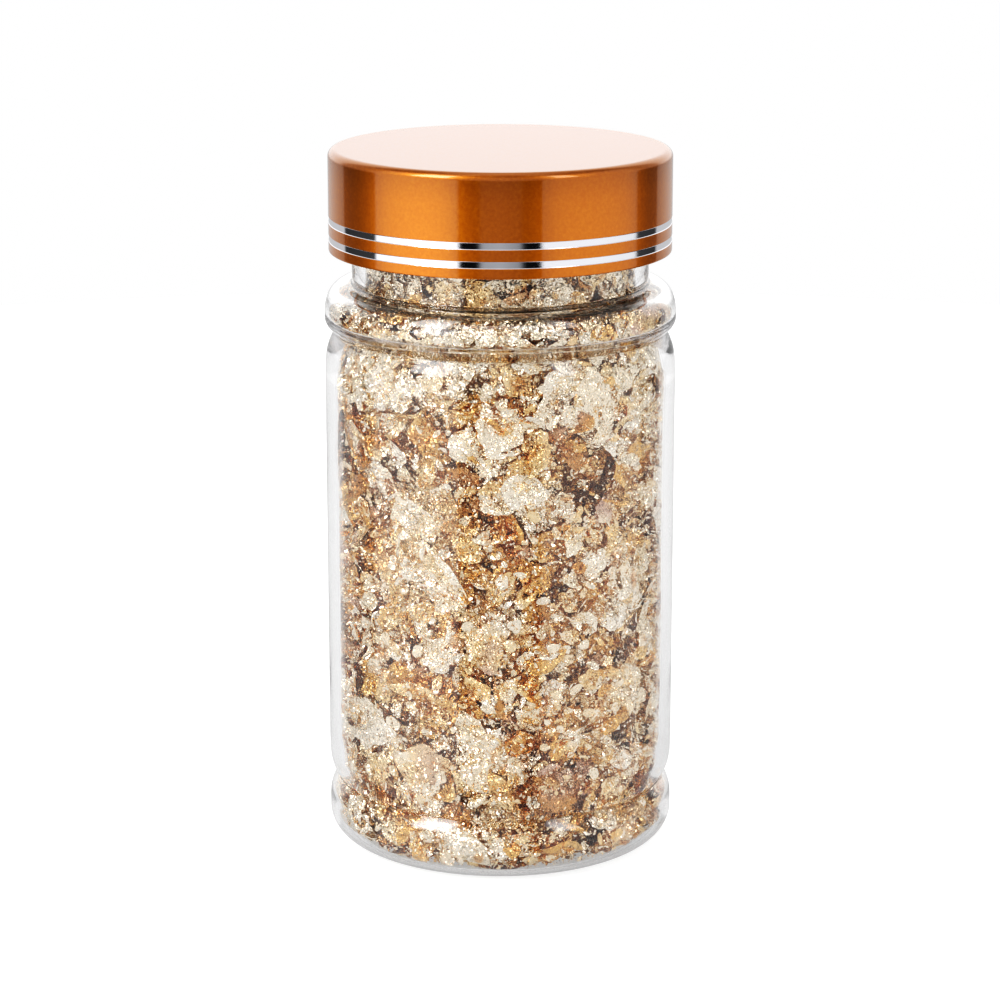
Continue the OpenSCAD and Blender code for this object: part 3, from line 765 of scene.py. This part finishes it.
# ---------------------------------------------------------------- floor
floor_mat, nt, b = material("pale_floor")
fn = noise(nt, coords(nt), 40.0, 3.0)
fc = ramp(nt, fn.outputs["Fac"], [(0.3, (0.36, 0.36, 0.36)), (0.7, (0.39, 0.39, 0.39))])
nt.links.new(fc.outputs["Color"], b.inputs["Base Color"])
b.inputs["Roughness"].default_value = 0.9
b.inputs["Specular IOR Level"].default_value = 0.1
b.inputs["Emission Color"].default_value = (1, 1, 1, 1)
seen = nt.nodes.new("ShaderNodeLightPath")
glow = node(nt, "ShaderNodeMapRange", {"Value": seen.outputs["Is Camera Ray"], "To Min": 0.34, "To Max": 0.84})
nt.links.new(glow.outputs[0], b.inputs["Emission Strength"])
ang = np.linspace(0, 2 * math.pi, 96, endpoint=False)
fme = bpy.data.meshes.new("floor")
fme.from_pydata([(0.38 * math.cos(a), 0.38 * math.sin(a), 0) for a in ang], [], [list(range(96))])
fme.materials.append(floor_mat)
floor = bpy.data.objects.new("floor", fme)
bpy.context.scene.collection.objects.link(floor)
floor.location.z = -0.0001
floor.visible_glossy = False

# ---------------------------------------------------------------- studio: soft boxes to the left and right, a bright wall behind, dark between
world = bpy.data.worlds.new("studio")
bpy.context.scene.world = world
world.use_nodes = True
nt = world.node_tree
nt.nodes.clear()
tc = nt.nodes.new("ShaderNodeTexCoord")
sep = node(nt, "ShaderNodeSeparateXYZ", {"Vector": tc.outputs["Generated"]})
neg = node(nt, "ShaderNodeMath", {0: sep.outputs["Y"], 1: -1.0}, operation="MULTIPLY")
az = node(nt, "ShaderNodeMath", {0: sep.outputs["X"], 1: neg.outputs[0]}, operation="ARCTAN2")
azn = node(nt, "ShaderNodeMapRange", {"Value": az.outputs[0], "From Min": -math.pi, "From Max": math.pi})
el = node(nt, "ShaderNodeMath", {0: sep.outputs["Z"]}, operation="ARCSINE")
eln = node(nt, "ShaderNodeMapRange", {"Value": el.outputs[0], "From Min": -math.pi / 2, "From Max": math.pi / 2})


def at(deg):
    return (deg + 180) / 360


PEAK = 2.5
SOFT, BACK_W, DARK, BLACK, MID = 1.6 / PEAK, 1.3 / PEAK, 0.095 / PEAK, 0.018 / PEAK, 0.41 / PEAK
EDGE = 0.62 / PEAK
band = ramp(nt, azn.outputs[0], [
    (at(-180), EDGE), (at(-128.4), EDGE), (at(-126.4), DARK * 0.8), (at(-92), DARK), (at(-90), SOFT * 0.8), (at(-60), SOFT), (at(-28.5), SOFT),
    (at(-27.5), BLACK), (at(-15), BLACK), (at(-12), MID), (at(0), MID * 1.1), (at(13), MID * 0.8), (at(16), BLACK), (at(27), BLACK), (at(28), SOFT * 0.66),
    (at(70), SOFT * 0.66), (at(102), SOFT * 0.6), (at(103.5), DARK), (at(127), DARK * 0.8), (at(129), EDGE), (at(180), EDGE)])
room = ramp(nt, azn.outputs[0], [
    (at(-180), BACK_W), (at(-134), BACK_W), (at(-126), 0.5 / PEAK), (at(-98), 0.5 / PEAK), (at(-88), 1.3 / PEAK), (at(-32), 1.3 / PEAK), (at(-27), 0.55 / PEAK), (at(0), 0.9 / PEAK),
    (at(27), 0.5 / PEAK), (at(32), 1.0 / PEAK), (at(100), 1.0 / PEAK), (at(108), 0.5 / PEAK), (at(126), 0.5 / PEAK), (at(134), BACK_W), (at(180), BACK_W)])
which = ramp(nt, eln.outputs[0], [((90 - 70) / 180, 1.0), ((90 - 45) / 180, 0.0), ((90 - 4) / 180, 0.0), ((90 + 3) / 180, 1.0)])
lp = nt.nodes.new("ShaderNodeLightPath")
# light that has come through the jar's wall sees the even room
through = node(nt, "ShaderNodeMath", {0: which.outputs["Color"], 1: lp.outputs["Is Transmission Ray"]}, operation="MAXIMUM")
both = node(nt, "ShaderNodeMix", data_type="RGBA")
nt.links.new(through.outputs[0], both.inputs[0])
nt.links.new(band.outputs["Color"], both.inputs[6])
nt.links.new(room.outputs["Color"], both.inputs[7])
height = ramp(nt, eln.outputs[0], [(0.0, 0.7), ((90 - 50) / 180, 0.8), ((90 - 25) / 180, 1.0), ((90 + 44) / 180, 1.0), ((90 + 50) / 180, 0.5), ((90 + 66) / 180, 0.5), ((90 + 72) / 180, 1.0), (1.0, 1.0)])
mul = node(nt, "ShaderNodeMix", data_type="RGBA", blend_type="MULTIPLY")
mul.inputs[0].default_value = 1.0
nt.links.new(both.outputs[2], mul.inputs[6])
nt.links.new(height.outputs["Color"], mul.inputs[7])
# two strong lamps in the soft boxes, high on the left and on the right
lamp_az = ramp(nt, azn.outputs[0], [(at(-66), 0.0), (at(-63), 1.0), (at(-38), 1.0), (at(-35), 0.0), (at(38), 0.0), (at(40), 0.5), (at(54), 0.5), (at(56), 0.0)])
lamp_el = ramp(nt, eln.outputs[0], [((90 + 19) / 180, 0.0), ((90 + 23) / 180, 1.0), ((90 + 46) / 180, 1.0), ((90 + 62) / 180, 0.0)])
spot = node(nt, "ShaderNodeMix", data_type="RGBA", blend_type="MULTIPLY")
spot.inputs[0].default_value = 1.0
nt.links.new(lamp_az.outputs["Color"], spot.inputs[6])
nt.links.new(lamp_el.outputs["Color"], spot.inputs[7])
strong = node(nt, "ShaderNodeVectorMath", {0: spot.outputs[2]}, operation="SCALE")
strong.inputs["Scale"].default_value = 8.0 / PEAK
total = node(nt, "ShaderNodeVectorMath", {0: mul.outputs[2], 1: strong.outputs[0]}, operation="ADD")
dim = node(nt, "ShaderNodeMapRange", {"Value": lp.outputs["Is Transmission Ray"], "To Min": PEAK, "To Max": 0.85 * PEAK})
studio = node(nt, "ShaderNodeBackground", {"Color": total.outputs[0], "Strength": dim.outputs[0]})
white = node(nt, "ShaderNodeBackground", {"Color": (1, 1, 1, 1), "Strength": 1.0})
mixs = node(nt, "ShaderNodeMixShader", {0: lp.outputs["Is Camera Ray"]})
nt.links.new(studio.outputs[0], mixs.inputs[1])
nt.links.new(white.outputs[0], mixs.inputs[2])
wo = nt.nodes.new("ShaderNodeOutputWorld")
nt.links.new(mixs.outputs[0], wo.inputs["Surface"])

lamp = bpy.data.lights.new("overhead", "AREA")
lamp.shape = "DISK"
lamp.size = 1.2
lamp.energy = 9.0
lamp_o = bpy.data.objects.new("overhead", lamp)
bpy.context.scene.collection.objects.link(lamp_o)
lamp_o.location = (0, 0.1, 1.3)
lamp_o.visible_glossy = False
lamp_o.visible_camera = False

scene = bpy.context.scene
scene.view_settings.view_transform = "Standard"
scene.view_settings.look = "None"
scene.view_settings.use_curve_mapping = True
tone = scene.view_settings.curve_mapping
tone.use_clip = False
tone.extend = "EXTRAPOLATED"
curve = tone.curves[3]
for x, y in ((0.02, 0.004), (0.07, 0.028), (0.15, 0.095), (0.28, 0.25), (0.5, 0.52)):
    curve.points.new(x, y)
tone.update()
scene.cycles.max_bounces = 160
scene.cycles.glossy_bounces = 160
scene.cycles.transmission_bounces = 160
scene.cycles.transparent_max_bounces = 8
scene.cycles.caustics_reflective = True
scene.cycles.caustics_refractive = True
scene.cycles.sample_clamp_indirect = 8.0
